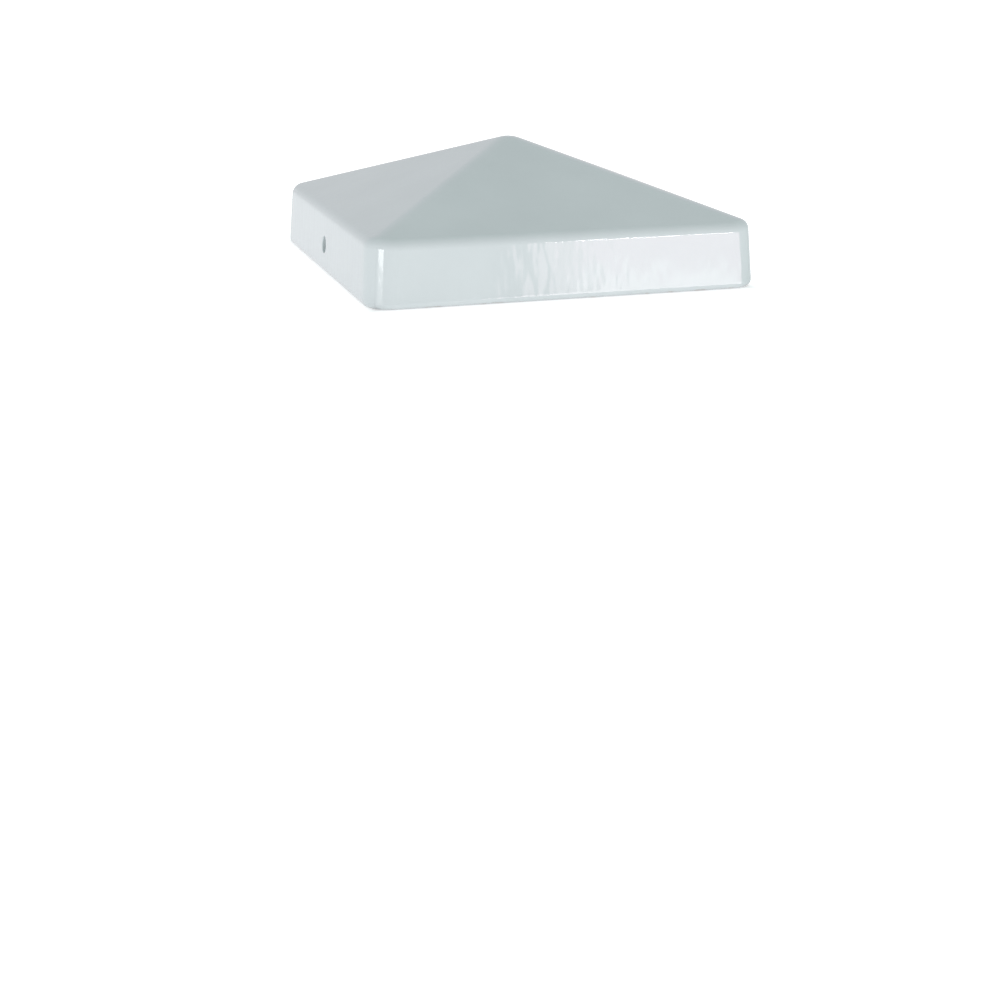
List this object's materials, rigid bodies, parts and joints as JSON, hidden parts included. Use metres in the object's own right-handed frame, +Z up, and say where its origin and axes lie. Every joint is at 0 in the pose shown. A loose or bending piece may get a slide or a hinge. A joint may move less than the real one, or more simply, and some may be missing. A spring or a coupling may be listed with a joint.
{
  "type": "fence post cap",
  "caption": "Square post cap with a low pyramid roof and short skirt, coated, fixed to its post by a screw through the side.",
  "frame": {"origin": "centre of the square rim, in the rim's plane, where the post enters", "axes": "+Z up to the roof's point, -Y the front face, -X the left face with the empty fixing hole, +X the face that holds the screw; the post goes in from -Z"},
  "size_m": [0.098, 0.0958, 0.0319],
  "materials": {
    "coat": "gloss powder coat, light cool grey-white, slight orange peel",
    "screw_steel": "bright stainless steel"
  },
  "bodies": {
    "shell": {"cap_shell": "coat"},
    "screw": {"fixing_screw": "screw_steel"}
  },
  "joints": [
    {"name": "screw_withdraw", "type": "slide", "parent": "shell", "child": "screw", "axis": [1, 0, 0], "range_m": [0, 0.022]}
  ]
}
